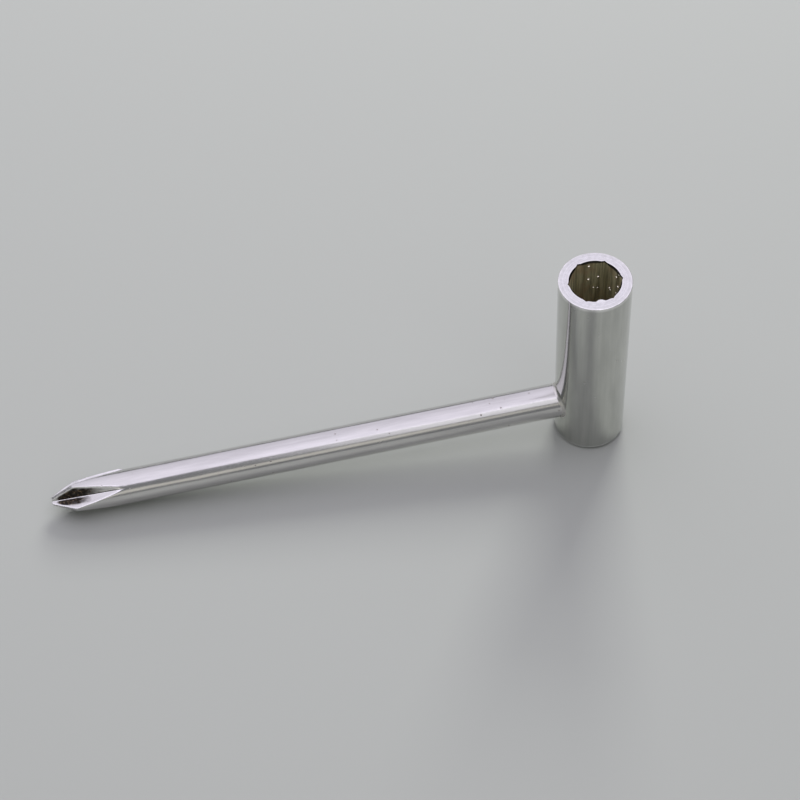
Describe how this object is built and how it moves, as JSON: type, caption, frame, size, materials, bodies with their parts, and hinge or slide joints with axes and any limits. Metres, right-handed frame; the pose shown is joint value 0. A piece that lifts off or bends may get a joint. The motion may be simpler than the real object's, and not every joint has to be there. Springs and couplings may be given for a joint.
{
  "type": "truss rod wrench",
  "caption": "L-shaped truss rod wrench: an upright barrel with a hexagon socket, and a round shank brazed into its foot that ends in a cross-head screwdriver tip.",
  "frame": {"origin": "centre of the barrel's closed foot, on its flat face", "axes": "+Z along the barrel's axis towards the socket's mouth, -X along the shank towards the tip, XZ holds the axes of both"},
  "size_m": [0.1013, 0.0122, 0.039],
  "materials": {
    "barrel_nickel": "satin nickel plate over turned steel",
    "shank_nickel": "satin nickel plate over drawn steel, fine grain along its length",
    "braze_metal": "plated braze filler, slightly uneven"
  },
  "bodies": {
    "root": {"socket_barrel": "barrel_nickel", "shank": "shank_nickel", "braze_fillet": "braze_metal"}
  },
  "joints": []
}
